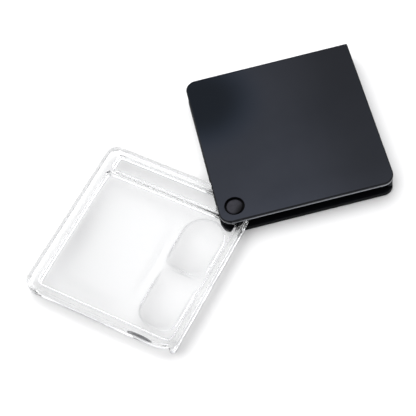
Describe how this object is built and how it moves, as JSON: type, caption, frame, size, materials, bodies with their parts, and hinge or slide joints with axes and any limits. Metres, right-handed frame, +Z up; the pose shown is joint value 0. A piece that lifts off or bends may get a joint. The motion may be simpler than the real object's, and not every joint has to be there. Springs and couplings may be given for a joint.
{
  "type": "folding pocket magnifier",
  "caption": "Folding pocket magnifier: a clear acrylic slab with moulded lenses swings out of a flat square case on a pivot at one corner.",
  "frame": {"origin": "centre of the case's flat underside", "axes": "+X towards the case's spine, +Y towards the case's far edge away from the pivot, +Z up out of the resting surface"},
  "size_m": [0.1276, 0.0985, 0.008],
  "materials": {
    "cover": "moulded slate-grey plastic with a fine satin grain",
    "spine": "moulded slate-grey plastic, plain satin",
    "cap": "black plastic, lightly turned dome",
    "steel": "turned stainless steel",
    "washer": "natural acetal, smooth",
    "spring": "phosphor bronze strip",
    "clear": "clear polished acrylic"
  },
  "bodies": {
    "case": {"top_cover": "cover", "bottom_cover": "cover", "spine": "spine", "spine_dowels": "steel", "pivot_barrel": "steel", "pivot_stud": "steel", "top_cap": "cap", "bottom_cap": "cap", "lower_washer": "washer", "spring_washer": "spring"},
    "lens": {"lens_slab": "clear", "upper_washer": "washer"}
  },
  "joints": [
    {"name": "lens_swing", "type": "hinge", "parent": "case", "child": "lens", "pos_m": [-0.02425, -0.02425, 0.004], "axis": [0, 0, 1], "range_deg": [-139.5, 118.5]}
  ]
}
